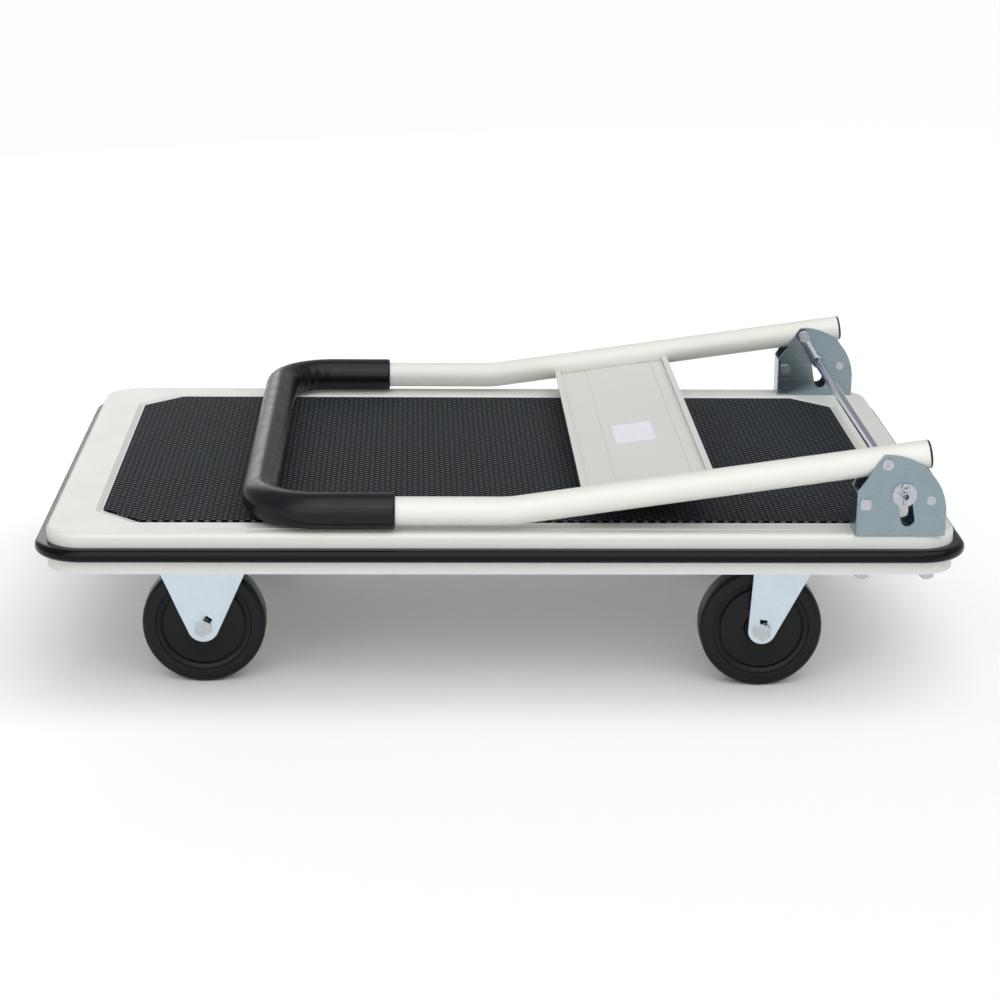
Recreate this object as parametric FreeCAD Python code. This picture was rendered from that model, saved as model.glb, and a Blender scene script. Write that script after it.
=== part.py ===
"""Folding platform cart: pressed deck, folding tube handle, two fixed and two swivel casters.

Frame: origin on the floor under the middle of the deck, +X towards the handle's hinge end,
+Y to the cart's right seen from behind the handle, +Z up.  Millimetres throughout.
The handle is modelled folded down on the deck, which is its rest position.
Left parts lie on the -Y side and right parts on the +Y side.
"""
import FreeCAD, Part
import math
import os

# ---------------------------------------------------------------- driving dimensions
# Deck
DECK_LENGTH = 894.0
DECK_WIDTH = 590.0
DECK_TOP = 186.0
SKIRT_HEIGHT = 41.0
DECK_SHEET = 1.5
DECK_CORNER = 38.0
DECK_EDGE_ROUND = 5.0
SKIRT_LIP = 4.0
# Rubber mat and the recess it lies in
MAT_LENGTH = 794.0
MAT_WIDTH = 499.0
MAT_CHAMFER = 41.0
MAT_THICKNESS = 2.4
RECESS_DEPTH = 2.6
RECESS_MARGIN = 2.5
RECESS_STEP = 5.0
# Shallow stiffening beads along the deck's two long borders
BEAD_Y = 281.0
BEAD_LENGTH = 592.0
BEAD_WIDTH = 9.0
BEAD_DEPTH = 0.7
# Bumper
BUMPER_HEIGHT = 12.6
BUMPER_DEPTH = 12.0
BUMPER_BOTTOM = 159.0
BUMPER_ROUND = 5.9
# Channels under the deck
CHANNEL_SHEET = 2.5
CHANNEL_WIDTH = 124.0
CHANNEL_HALF_SPAN = 256.0
CHANNEL_FLANGE = 14.0
# Short channels that back up the hinge brackets inside the skirt
BACKING_BOTTOM = 147.0
BACKING_WALL_END = 418.0
BACKING_END = 426.0
BACKING_WIDTH = 26.5
BACKING_Y = 275.25
# Hinge brackets
BRACKET_Y = 281.0
BRACKET_WIDTH = 33.0
BRACKET_SHEET = 2.0
BRACKET_FRONT = 343.0
BRACKET_BACK = 431.0
BRACKET_ARC_RADIUS = 59.4
BRACKET_CREST = 267.2
BRACKET_SHOULDER = 228.6
BRACKET_WEB_TOP = 228.6
BRACKET_NOSE_FLAT = 4.0
BRACKET_NOSE_RADIUS = 5.0
BRACKET_BEND_ROUND = 3.0
BRACKET_BOLT_X = (354.5, 418.5)
# Handle
PIVOT_X = 371.0
PIVOT_Z = 258.0
FOLD_SLOPE = 8.2
TAIL_LENGTH = 45.3
TUBE_RADIUS = 14.0
TUBE_WALL = 1.5
HANDLE_Y = 281.0
CROSSBAR_X = -240.0
GRIP_AXIS_Z = 205.5
BEND_RADIUS = 120.0
CORNER_RADIUS = 60.0
CAP_THICKNESS = 2.6
CAP_ROUND = 2.2
CAP_PLUG_LENGTH = 12.0
# Foam grip
FOAM_RADIUS = 18.1
FOAM_END_LEFT = -105.5
FOAM_END_RIGHT = -115.3
# Cross panel between the handle legs, placed along the leg from the pivot
PANEL_NEAR = 162.5
PANEL_FAR = 295.0
PANEL_SHEET = 1.5
PANEL_DROP = 7.3
PANEL_HEM_WIDTH = 6.0
PANEL_HEM_HEIGHT = 4.0
PANEL_BEAD_OFFSET = 38.0
PANEL_BEAD_WIDTH = 16.0
PANEL_BEAD_DEPTH = 0.6
PANEL_TAB_INSET = 10.0
PANEL_TAB_REACH = 10.0
LABEL_SIZE = (42.0, 72.0)
LABEL_ALONG = 227.0
LABEL_Y = -30.0
LABEL_THICKNESS = 0.2
# Release rod and its slot
ROD_OFFSET = (18.0, -30.5)
ROD_RADIUS = 5.0
ROD_NECK_RADIUS = 4.0
ROD_NECK_Y = 262.0
ROD_BORE_RADIUS = 2.9
ROD_BORE_DEPTH = 16.0
ROD_HALF_LENGTH = 306.5
ROD_TRAVEL = 28.5
SLOT_LEAN = 10.0
SLOT_WIDTH = 13.6
WASHER_RADIUS = 12.0
WASHER_THICKNESS = 1.5
SPLIT_PIN_RADIUS = 1.1
SPLIT_PIN_GAP = 0.8
SPLIT_PIN_EYE = 2.6
SPLIT_PIN_TIP = 6.0
# Pins in the brackets
PIVOT_PIN_RADIUS = 4.2
PIVOT_HEAD_RADIUS = 5.6
PIVOT_DIMPLE_RADIUS = 1.8
PIVOT_DIMPLE_DEPTH = 2.0
PIVOT_HEAD_HEIGHT = 3.0
PIVOT_PIN_INNER_REACH = 11.0
STOP_PIN_XZ = (351.5, 217.5)
STOP_PIN_RADIUS = 5.0
STOP_HEAD_SIZE = 10.6
STOP_HEAD_HEIGHT = 2.6
STOP_HEAD_ROUND = 3.0
SPACER_XZ = (415.8, 221.7)
SPACER_RADIUS = 4.0
SPACER_HEAD_RADIUS = 4.6
SPACER_HEAD_HEIGHT = 0.7
RUNNING_CLEARANCE = 0.05
AIR_GAP = 0.3
# Tension springs between pivot pin and release rod
SPRING_RADIUS = 5.0
SPRING_WIRE = 1.0
SPRING_Y = 258.5
# Casters
WHEEL_RADIUS = 62.5
TYRE_WIDTH = 32.0
TYRE_SHOULDER = 6.0
CORE_RADIUS = 42.0
CORE_DISC_WIDTH = 28.0
HUB_RADIUS = 17.0
HUB_WIDTH = 38.0
BUSH_RADIUS = 8.0
AXLE_RADIUS = 5.0
FORK_GAP = 41.0
FORK_SHEET = 3.0
FORK_TIP_RADIUS = 16.0
FIXED_LEG_TOP = 54.0
FIXED_LEG_WAIST = 41.0
FIXED_LEG_WAIST_RISE = 52.5
FIXED_PANEL_HALF = 25.5
FIXED_PANEL_SLANT = 8.0
FIXED_PANEL_RISE = 1.5
KEY_SLOT = (7.6, 4.6)
KEY_SLOT_RISE = 9.4
FIXED_KEY_TURN = 33.0
SWIVEL_KEY_TURN = 8.0
PLATE_LENGTH = 116.0
PLATE_WIDTH = 100.0
PLATE_TOP = 157.0
PLATE_SHEET = 3.0
PLATE_CORNER = 8.0
CASTER_BOLT_X = 42.0
CASTER_BOLT_Y = 35.0
FIXED_X = -300.0
FIXED_Y = 190.0
KINGPIN_X = 300.0
KINGPIN_Y = 203.0
SWIVEL_TRAIL = 34.0
SWIVEL_TIP_RADIUS = 14.0
SWIVEL_LEG_REAR = -9.5
SWIVEL_LEG_FRONT = 62.0
SWIVEL_LEG_WAIST = 46.0
SWIVEL_LEG_WAIST_RISE = 57.5
SWIVEL_CREASE = 19.0
SWIVEL_CREASE_HALF = 3.5
SWIVEL_CREASE_DROP = 0.15
SWIVEL_FRONT_DROP = 2.5
CROWN_TOP = 142.0
CROWN_SHEET = 3.0
CROWN_RADIUS = 38.0
BALL_RADIUS = 2.95
BALL_CIRCLE = 28.0
BALL_COUNT = 16
RACE_INNER = 22.0
RACE_OUTER = 34.0
KINGPIN_RADIUS = 6.0
KINGPIN_HEAD_RADIUS = 10.0
KINGPIN_HEAD_HEIGHT = 4.0
# Fasteners
M8_RADIUS = 4.0
M8_HOLE_RADIUS = 4.5
M8_FLATS = 13.0
M8_NUT_HEIGHT = 6.5
M8_HEAD_HEIGHT = 5.3
M8_WASHER_RADIUS = 8.0
M8_WASHER_HEIGHT = 1.6
M10_FLATS = 16.0
M10_HEAD_HEIGHT = 6.4
M10_NUT_HEIGHT = 8.0
BOLT_PROTRUSION = 2.0

# ---------------------------------------------------------------- derived dimensions
SKIRT_BOTTOM = DECK_TOP - SKIRT_HEIGHT
DECK_UNDERSIDE = DECK_TOP - DECK_SHEET
PAN_UNDERSIDE = DECK_UNDERSIDE - RECESS_DEPTH
BRACKET_BASE_TOP = DECK_TOP + BRACKET_SHEET
BRACKET_OUTER_Y = BRACKET_Y + BRACKET_WIDTH / 2
BRACKET_INNER_Y = BRACKET_Y - BRACKET_WIDTH / 2
FORK_OUTER = FORK_GAP / 2 + FORK_SHEET
CROWN_BOTTOM = CROWN_TOP - CROWN_SHEET
SLOPE = math.radians(FOLD_SLOPE)
LEAN = math.radians(SLOT_LEAN)
ROD_X = PIVOT_X + ROD_OFFSET[0]
ROD_Z = PIVOT_Z + ROD_OFFSET[1]
ROD_LOW_X = ROD_X + ROD_TRAVEL * math.sin(LEAN)
ROD_LOW_Z = ROD_Z - ROD_TRAVEL * math.cos(LEAN)
BEND_X = PIVOT_X - (PIVOT_Z - GRIP_AXIS_Z) / math.tan(SLOPE)

SIDES = (("left", -1), ("right", 1))
X_AXIS = FreeCAD.Vector(1, 0, 0)
Y_AXIS = FreeCAD.Vector(0, 1, 0)
Z_AXIS = FreeCAD.Vector(0, 0, 1)
FULL_TURN = 360.0
TOUCH = 1e-4


# ---------------------------------------------------------------- general helpers
def vec(x, y, z):
    """Return a point or a direction."""
    return FreeCAD.Vector(x, y, z)


def save(name, *shapes):
    """Write one sub-part: a single solid, or several separate solids as a group."""
    shape = shapes[0] if len(shapes) == 1 else Part.makeCompound(list(shapes))
    shape.exportStep("parts/%s.step" % name)


def box(x_range, y_range, z_range):
    """Return a box from its three (low, high) ranges."""
    low = vec(x_range[0], y_range[0], z_range[0])
    return Part.makeBox(x_range[1] - x_range[0], y_range[1] - y_range[0], z_range[1] - z_range[0], low)


def mid_box(centre, size):
    """Return a box from its middle point and its three sizes."""
    ranges = [(c - s / 2, c + s / 2) for c, s in zip(centre, size)]
    return box(*ranges)


def drill(shape, tools):
    """Cut every tool out of the shape."""
    for tool in tools:
        shape = shape.cut(tool)
    return shape


def rod_y(radius, x, z, y_from, y_to):
    """Return a cylinder that lies along Y."""
    return Part.makeCylinder(radius, y_to - y_from, vec(x, y_from, z), Y_AXIS)


def rod_z(radius, x, y, z_from, z_to):
    """Return a cylinder that stands along Z."""
    return Part.makeCylinder(radius, z_to - z_from, vec(x, y, z_from), Z_AXIS)


def edges_at_height(shape, z):
    """Return the shape's edges that lie flat at height z."""
    return [e for e in shape.Edges
            if abs(e.BoundBox.ZMin - z) < TOUCH and abs(e.BoundBox.ZMax - z) < TOUCH]


def is_along(edge, axis):
    """Tell whether an edge is straight and parallel to a frame axis."""
    size = edge.BoundBox
    lengths = (size.XLength, size.YLength, size.ZLength)
    return all(length < TOUCH for length, part in zip(lengths, axis) if part == 0)


def rounded_block(length, width, corner, z_low, z_high):
    """Return a block, centred on Z, with rounded upright corners."""
    block = box((-length / 2, length / 2), (-width / 2, width / 2), (z_low, z_high))
    return block.makeFillet(corner, [e for e in block.Edges if is_along(e, Z_AXIS)])


def polygon_face(points):
    """Return a flat face through the points."""
    return Part.Face(Part.makePolygon(list(points) + [points[0]]))


def hex_prism(flats, x, y, z_low, z_high):
    """Return a hexagonal bolt head or nut standing along Z."""
    corner = flats / math.sqrt(3)
    angles = [math.radians(60 * k + 30) for k in range(6)]
    points = [vec(x + corner * math.cos(a), y + corner * math.sin(a), z_low) for a in angles]
    return polygon_face(points).extrude(vec(0, 0, z_high - z_low))


def hex_prism_y(flats, x, z, y_low, y_high):
    """Return a hexagonal bolt head or nut lying along Y."""
    corner = flats / math.sqrt(3)
    angles = [math.radians(60 * k + 30) for k in range(6)]
    points = [vec(x + corner * math.cos(a), y_low, z + corner * math.sin(a)) for a in angles]
    return polygon_face(points).extrude(vec(0, y_high - y_low, 0))


def span_y(side, inner, outer):
    """Return the (low, high) Y range of a piece between two distances from the middle."""
    return tuple(sorted((side * inner, side * outer)))


def octagon(length, width, chamfer, z):
    """Return the closed wire of a rectangle with its four corners cut off."""
    hx = length / 2
    hy = width / 2
    outline = [(hx - chamfer, hy), (hx, hy - chamfer), (hx, chamfer - hy), (hx - chamfer, -hy),
               (chamfer - hx, -hy), (-hx, chamfer - hy), (-hx, hy - chamfer), (chamfer - hx, hy)]
    points = [vec(x, y, z) for x, y in outline]
    return Part.makePolygon(points + [points[0]])


def pan(grow, z_low, z_high, step):
    """Return the sloped-sided solid between two octagons that follow the mat's outline."""
    floor = octagon(MAT_LENGTH + 2 * grow, MAT_WIDTH + 2 * grow, MAT_CHAMFER, z_low)
    mouth = octagon(MAT_LENGTH + 2 * (grow + step), MAT_WIDTH + 2 * (grow + step), MAT_CHAMFER, z_high)
    return Part.makeLoft([floor, mouth], True, True)


def stadium(x_mid, y_mid, length, width, z_low, z_high):
    """Return an upright slab with half-round ends, long along X."""
    half = length / 2 - width / 2
    slab = mid_box((x_mid, y_mid, (z_low + z_high) / 2), (2 * half, width, z_high - z_low))
    for end in (-1, 1):
        slab = slab.fuse(rod_z(width / 2, x_mid + end * half, y_mid, z_low, z_high))
    return slab


# ---------------------------------------------------------------- bolt positions
def bracket_bolt_places():
    """Return the (x, y) of the four bolts that hold the two hinge brackets."""
    return [(x, side * BRACKET_Y) for _, side in SIDES for x in BRACKET_BOLT_X]


def caster_centres():
    """Return name, plate centre and side of all four casters."""
    fixed = [("fixed_" + name, FIXED_X, side * FIXED_Y) for name, side in SIDES]
    swivel = [("swivel_" + name, KINGPIN_X, side * KINGPIN_Y) for name, side in SIDES]
    return fixed + swivel


def plate_bolt_places(x, y):
    """Return the (x, y) of the four bolts of one caster plate."""
    return [(x + i * CASTER_BOLT_X, y + j * CASTER_BOLT_Y) for i in (-1, 1) for j in (-1, 1)]


def all_plate_bolt_places():
    """Return the (x, y) of all caster bolts."""
    return [place for _, x, y in caster_centres() for place in plate_bolt_places(x, y)]


def bolt_holes(places, z_low, z_high):
    """Return clearance-hole cutters at the given places."""
    return [rod_z(M8_HOLE_RADIUS, x, y, z_low, z_high) for x, y in places]


# ---------------------------------------------------------------- deck
def make_deck_shell():
    """Pressed sheet deck: skirt all round, inturned lip, mat recess and border beads."""
    outer = rounded_block(DECK_LENGTH, DECK_WIDTH, DECK_CORNER, SKIRT_BOTTOM, DECK_TOP)
    outer = outer.makeFillet(DECK_EDGE_ROUND, edges_at_height(outer, DECK_TOP))
    inner = rounded_block(DECK_LENGTH - 2 * DECK_SHEET, DECK_WIDTH - 2 * DECK_SHEET,
                          DECK_CORNER - DECK_SHEET, SKIRT_BOTTOM - 1, DECK_UNDERSIDE)
    inner = inner.makeFillet(DECK_EDGE_ROUND - DECK_SHEET, edges_at_height(inner, DECK_UNDERSIDE))
    lip = rounded_block(DECK_LENGTH - DECK_SHEET, DECK_WIDTH - DECK_SHEET,
                        DECK_CORNER - DECK_SHEET / 2, SKIRT_BOTTOM, SKIRT_BOTTOM + DECK_SHEET)
    lip = lip.cut(rounded_block(DECK_LENGTH - 2 * SKIRT_LIP, DECK_WIDTH - 2 * SKIRT_LIP,
                                DECK_CORNER - SKIRT_LIP, SKIRT_BOTTOM - 1, DECK_TOP))
    tray = pan(RECESS_MARGIN + DECK_SHEET, PAN_UNDERSIDE, DECK_TOP - DECK_SHEET / 2, RECESS_STEP)
    recess = pan(RECESS_MARGIN, DECK_TOP - RECESS_DEPTH, DECK_TOP, RECESS_STEP)
    shell = outer.cut(inner).fuse(lip).fuse(tray).cut(recess)
    beads = [stadium(0, side * BEAD_Y, BEAD_LENGTH, BEAD_WIDTH, DECK_TOP - BEAD_DEPTH, DECK_TOP + 1)
             for _, side in SIDES]
    holes = bolt_holes(bracket_bolt_places(), PAN_UNDERSIDE - 1, DECK_TOP + 1)
    save("deck_shell", drill(shell, beads + holes).removeSplitter())


def make_deck_mat():
    """Ribbed rubber mat that lies in the deck's recess."""
    floor = DECK_TOP - RECESS_DEPTH
    outline = Part.Face(octagon(MAT_LENGTH, MAT_WIDTH, MAT_CHAMFER, floor))
    save("deck_mat", outline.extrude(vec(0, 0, MAT_THICKNESS)))


def make_edge_bumper():
    """Half-round rubber bumper strip round the skirt."""
    top = BUMPER_BOTTOM + BUMPER_HEIGHT
    strip = rounded_block(DECK_LENGTH + 2 * BUMPER_DEPTH, DECK_WIDTH + 2 * BUMPER_DEPTH,
                          DECK_CORNER + BUMPER_DEPTH, BUMPER_BOTTOM, top)
    rims = edges_at_height(strip, top) + edges_at_height(strip, BUMPER_BOTTOM)
    strip = strip.makeFillet(BUMPER_ROUND, rims)
    bore = rounded_block(DECK_LENGTH, DECK_WIDTH, DECK_CORNER, BUMPER_BOTTOM - 1, top + 1)
    save("edge_bumper", strip.cut(bore))


def channel_profile(half_width, flange, height):
    """Return the outline of a channel that is open at the top, as (across, up) points."""
    t = CHANNEL_SHEET
    outline = [(-half_width, 0), (half_width, 0)]
    if flange > 0:
        outline += [(half_width, height - t), (half_width + flange, height - t),
                    (half_width + flange, height)]
    else:
        outline += [(half_width, height)]
    outline += [(half_width - t, height), (half_width - t, t),
                (t - half_width, t), (t - half_width, height)]
    if flange > 0:
        outline += [(-half_width - flange, height), (-half_width - flange, height - t),
                    (-half_width, height - t)]
    else:
        outline += [(-half_width, height)]
    return outline


def make_caster_channels():
    """Channels across the deck that carry the two pairs of casters."""
    profile = channel_profile(CHANNEL_WIDTH / 2, CHANNEL_FLANGE, PAN_UNDERSIDE - PLATE_TOP)
    holes = bolt_holes(all_plate_bolt_places(), PLATE_TOP - 1, PLATE_TOP + CHANNEL_SHEET + 1)
    for name, x in (("fixed_caster_channel", FIXED_X), ("swivel_caster_channel", KINGPIN_X)):
        points = [vec(x + across, -CHANNEL_HALF_SPAN, PLATE_TOP + up) for across, up in profile]
        channel = polygon_face(points).extrude(vec(0, 2 * CHANNEL_HALF_SPAN, 0))
        save(name, drill(channel, holes))


def make_bracket_backings():
    """Short channels along the skirt that the hinge brackets are bolted through.

    Their walls stop short of the deck's rounded corner; the web runs on under the rear bolt.
    """
    profile = channel_profile(BACKING_WIDTH / 2, 0, DECK_UNDERSIDE - BACKING_BOTTOM)
    web_top = BACKING_BOTTOM + CHANNEL_SHEET
    holes = bolt_holes(bracket_bolt_places(), BACKING_BOTTOM - 1, web_top + 1)
    for name, side in SIDES:
        y = side * BACKING_Y
        points = [vec(BRACKET_FRONT, y + across, BACKING_BOTTOM + up) for across, up in profile]
        channel = polygon_face(points).extrude(vec(BACKING_WALL_END - BRACKET_FRONT, 0, 0))
        across_web = (y - BACKING_WIDTH / 2, y + BACKING_WIDTH / 2)
        web = box((BRACKET_FRONT, BACKING_END), across_web, (BACKING_BOTTOM, web_top))
        save("bracket_backing_" + name, drill(channel.fuse(web).removeSplitter(), holes))


# ---------------------------------------------------------------- hinge brackets and their pins
def cheek_profile(y_low, y_high):
    """Return a slab with the cheeks' outline: straight front, slanted shoulder, big rear arc."""
    arc_x = BRACKET_BACK - BRACKET_ARC_RADIUS
    arc_z = BRACKET_CREST - BRACKET_ARC_RADIUS
    nose = vec(arc_x - BRACKET_NOSE_FLAT, y_low, BRACKET_CREST)
    crest = vec(arc_x, y_low, BRACKET_CREST)
    rear = vec(BRACKET_BACK, y_low, arc_z)
    half = math.sqrt(0.5) * BRACKET_ARC_RADIUS
    middle = vec(arc_x + half, y_low, arc_z + half)
    chain = [crest, nose,
             vec(BRACKET_FRONT, y_low, BRACKET_SHOULDER),
             vec(BRACKET_FRONT, y_low, DECK_TOP),
             vec(BRACKET_BACK, y_low, DECK_TOP),
             rear]
    edges = [Part.LineSegment(a, b).toShape() for a, b in zip(chain, chain[1:])]
    edges.append(Part.Arc(rear, middle, crest).toShape())
    slab = Part.Face(Part.Wire(edges)).extrude(vec(0, y_high - y_low, 0))
    at_nose = Part.Vertex(nose)
    nose_edge = [e for e in slab.Edges if e.distToShape(at_nose)[0] < TOUCH and is_along(e, Y_AXIS)]
    return slab.makeFillet(BRACKET_NOSE_RADIUS, nose_edge)


def folded_sheet(x_range, y_range, z_range, outer_round):
    """Return the block of a folded sheet with its two front upright edges rounded."""
    block = box(x_range, y_range, z_range)
    bends = [e for e in block.Edges
             if is_along(e, Z_AXIS) and e.BoundBox.XMax < x_range[0] + TOUCH]
    return block.makeFillet(outer_round, bends)


def rod_slot():
    """Return the cutter for the slots that the release rod travels in."""
    reach = 2 * DECK_WIDTH
    overrun = SLOT_WIDTH / 2 - ROD_NECK_RADIUS - AIR_GAP
    down = vec(math.sin(LEAN), 0, -math.cos(LEAN))
    across = vec(math.cos(LEAN), 0, math.sin(LEAN)) * (SLOT_WIDTH / 2)
    top = vec(ROD_X, -reach / 2, ROD_Z) + down * overrun
    low = vec(ROD_LOW_X, -reach / 2, ROD_LOW_Z) - down * overrun
    corners = [top - across, top + across, low + across, low - across]
    slot = polygon_face(corners).extrude(vec(0, reach, 0))
    for end in (top, low):
        slot = slot.fuse(Part.makeCylinder(SLOT_WIDTH / 2, reach, end, Y_AXIS))
    return slot


def make_hinge_brackets():
    """Zinc-plated U-brackets: two cheeks, a front web and a base bolted to the deck."""
    everywhere = (-DECK_WIDTH, DECK_WIDTH)
    pin_holes = [rod_y(PIVOT_PIN_RADIUS, PIVOT_X, PIVOT_Z, *everywhere),
                 rod_y(STOP_PIN_RADIUS, STOP_PIN_XZ[0], STOP_PIN_XZ[1], *everywhere),
                 rod_y(SPACER_RADIUS, SPACER_XZ[0], SPACER_XZ[1], *everywhere)]
    bolt_cuts = bolt_holes(bracket_bolt_places(), DECK_TOP - 1, BRACKET_BASE_TOP + 1)
    for name, side in SIDES:
        y_low, y_high = span_y(side, BRACKET_INNER_Y, BRACKET_OUTER_Y)
        t = BRACKET_SHEET
        outer = folded_sheet((BRACKET_FRONT, BRACKET_BACK), (y_low, y_high), (DECK_TOP, BRACKET_CREST),
                             BRACKET_BEND_ROUND)
        inner = folded_sheet((BRACKET_FRONT + t, BRACKET_BACK + 1), (y_low + t, y_high - t),
                             (DECK_TOP + t, BRACKET_CREST + 1), BRACKET_BEND_ROUND - t)
        window = box((BRACKET_FRONT - 1, BRACKET_FRONT + t + 1),
                     (y_low + BRACKET_BEND_ROUND, y_high - BRACKET_BEND_ROUND),
                     (BRACKET_WEB_TOP, BRACKET_CREST + 1))
        bracket = outer.cut(inner).common(cheek_profile(y_low, y_high)).cut(window)
        save("hinge_bracket_" + name, drill(bracket, pin_holes + bolt_cuts + [rod_slot()]))


def make_pivot_pins():
    """Headed pins that the handle turns on; their inner ends hold the springs."""
    pins = []
    for _, side in SIDES:
        inner = BRACKET_INNER_Y - PIVOT_PIN_INNER_REACH
        shank = rod_y(PIVOT_PIN_RADIUS, PIVOT_X, PIVOT_Z, *span_y(side, inner, BRACKET_OUTER_Y))
        heads = [span_y(side, BRACKET_OUTER_Y, BRACKET_OUTER_Y + PIVOT_HEAD_HEIGHT),
                 span_y(side, inner, inner + PIVOT_HEAD_HEIGHT)]
        for y_range in heads:
            shank = shank.fuse(rod_y(PIVOT_HEAD_RADIUS, PIVOT_X, PIVOT_Z, *y_range))
        face = BRACKET_OUTER_Y + PIVOT_HEAD_HEIGHT
        dimple = span_y(side, face - PIVOT_DIMPLE_DEPTH, face + 1)
        shank = shank.cut(rod_y(PIVOT_DIMPLE_RADIUS, PIVOT_X, PIVOT_Z, *dimple))
        pins.append(shank.removeSplitter())
    save("pivot_pins", *pins)


def make_stop_pins():
    """Square-headed pins that the upright handle's tails come to rest against."""
    x, z = STOP_PIN_XZ
    pins = []
    for _, side in SIDES:
        pin = rod_y(STOP_PIN_RADIUS, x, z, *span_y(side, BRACKET_INNER_Y, BRACKET_OUTER_Y))
        for inner in (BRACKET_INNER_Y - STOP_HEAD_HEIGHT, BRACKET_OUTER_Y):
            y_mid = side * (inner + STOP_HEAD_HEIGHT / 2)
            head = mid_box((x, y_mid, z), (STOP_HEAD_SIZE, STOP_HEAD_HEIGHT, STOP_HEAD_SIZE))
            corners = [e for e in head.Edges if is_along(e, Y_AXIS)]
            pin = pin.fuse(head.makeFillet(STOP_HEAD_ROUND, corners))
        pins.append(pin)
    save("stop_pins", *pins)


def make_spacer_rivets():
    """Flat-headed rivets that keep the bracket cheeks apart behind the rod."""
    x, z = SPACER_XZ
    rivets = []
    for _, side in SIDES:
        rivet = rod_y(SPACER_RADIUS, x, z, *span_y(side, BRACKET_INNER_Y, BRACKET_OUTER_Y))
        for inner in (BRACKET_INNER_Y - SPACER_HEAD_HEIGHT, BRACKET_OUTER_Y):
            across = span_y(side, inner, inner + SPACER_HEAD_HEIGHT)
            rivet = rivet.fuse(rod_y(SPACER_HEAD_RADIUS, x, z, *across))
        rivets.append(rivet)
    save("spacer_rivets", *rivets)


def make_bracket_fasteners():
    """Long bolts, washers and nuts that clamp the brackets to the deck and its backings."""
    washer_low = BACKING_BOTTOM - M8_WASHER_HEIGHT
    nut_low = washer_low - M8_NUT_HEIGHT
    bolts = []
    washers = []
    nuts = []
    for x, y in bracket_bolt_places():
        head = hex_prism(M8_FLATS, x, y, BRACKET_BASE_TOP, BRACKET_BASE_TOP + M8_HEAD_HEIGHT)
        bolts.append(head.fuse(rod_z(M8_RADIUS, x, y, nut_low - BOLT_PROTRUSION, BRACKET_BASE_TOP)))
        bore = rod_z(M8_RADIUS, x, y, nut_low, BACKING_BOTTOM)
        washers.append(rod_z(M8_WASHER_RADIUS, x, y, washer_low, BACKING_BOTTOM).cut(bore))
        nuts.append(hex_prism(M8_FLATS, x, y, nut_low, washer_low).cut(bore))
    save("bracket_bolts", *bolts)
    save("bracket_washers", *washers)
    save("bracket_nuts", *nuts)


# ---------------------------------------------------------------- handle
def tilt(shape):
    """Move a shape from the lower leg's own frame to the folded handle.

    In that frame the origin is the pivot, +X runs along the leg to its tail and +Z is up from it.
    """
    placed = shape.copy()
    placed.rotate(vec(0, 0, 0), Y_AXIS, -FOLD_SLOPE)
    placed.translate(vec(PIVOT_X, 0, PIVOT_Z))
    return placed


def leg_point(along, y):
    """Return the point on a lower leg's centre line at a distance from the pivot."""
    return vec(PIVOT_X + along * math.cos(SLOPE), y, PIVOT_Z + along * math.sin(SLOPE))


def bent_path(points, radii):
    """Return a wire of straight runs joined by arcs, one radius for each inner point."""
    edges = []
    start = points[0]
    for before, corner, after, radius in zip(points, points[1:], points[2:], radii):
        back = (before - corner).normalize()
        ahead = (after - corner).normalize()
        half_angle = back.getAngle(ahead) / 2
        tangent = radius / math.tan(half_angle)
        bisector = (back + ahead).normalize()
        middle = corner + bisector * (radius / math.sin(half_angle) - radius)
        arc_start = corner + back * tangent
        arc_end = corner + ahead * tangent
        edges.append(Part.LineSegment(start, arc_start).toShape())
        edges.append(Part.Arc(arc_start, middle, arc_end).toShape())
        start = arc_end
    edges.append(Part.LineSegment(start, points[-1]).toShape())
    return Part.Wire(edges)


def sweep_round(path, radius):
    """Return the solid that a disc sweeps along the path."""
    first = path.OrderedEdges[0]
    start = first.valueAt(first.FirstParameter)
    heading = first.tangentAt(first.FirstParameter)
    ring = Part.Wire(Part.makeCircle(radius, start, heading))
    return path.makePipeShell([ring], True, False)


def handle_path(tail):
    """Return the tube's centre line from one tail round the crossbar to the other."""
    left = [leg_point(tail, -HANDLE_Y), vec(BEND_X, -HANDLE_Y, GRIP_AXIS_Z),
            vec(CROSSBAR_X, -HANDLE_Y, GRIP_AXIS_Z)]
    right = [vec(p.x, -p.y, p.z) for p in reversed(left)]
    return bent_path(left + right, [BEND_RADIUS, CORNER_RADIUS, CORNER_RADIUS, BEND_RADIUS])


def make_handle_tube():
    """One bent steel tube with its tails drilled for the pivot pins."""
    path = handle_path(TAIL_LENGTH - CAP_THICKNESS)
    tube = sweep_round(path, TUBE_RADIUS).cut(sweep_round(path, TUBE_RADIUS - TUBE_WALL))
    bore = rod_y(PIVOT_PIN_RADIUS + RUNNING_CLEARANCE, PIVOT_X, PIVOT_Z, -DECK_WIDTH, DECK_WIDTH)
    save("handle_tube", tube.cut(bore))


def make_tail_caps():
    """Plastic caps plugged into the tube's two tails."""
    seat = TAIL_LENGTH - CAP_THICKNESS
    caps = []
    for _, side in SIDES:
        y = side * HANDLE_Y
        rim = Part.makeCylinder(TUBE_RADIUS, CAP_THICKNESS, vec(seat, y, 0), X_AXIS)
        outer = [e for e in rim.Edges if e.BoundBox.XMin > seat + TOUCH]
        rim = rim.makeFillet(CAP_ROUND, outer)
        root = vec(seat - CAP_PLUG_LENGTH, y, 0)
        plug = Part.makeCylinder(TUBE_RADIUS - TUBE_WALL, CAP_PLUG_LENGTH, root, X_AXIS)
        caps.append(tilt(rim.fuse(plug)))
    save("tail_caps", *caps)


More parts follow.
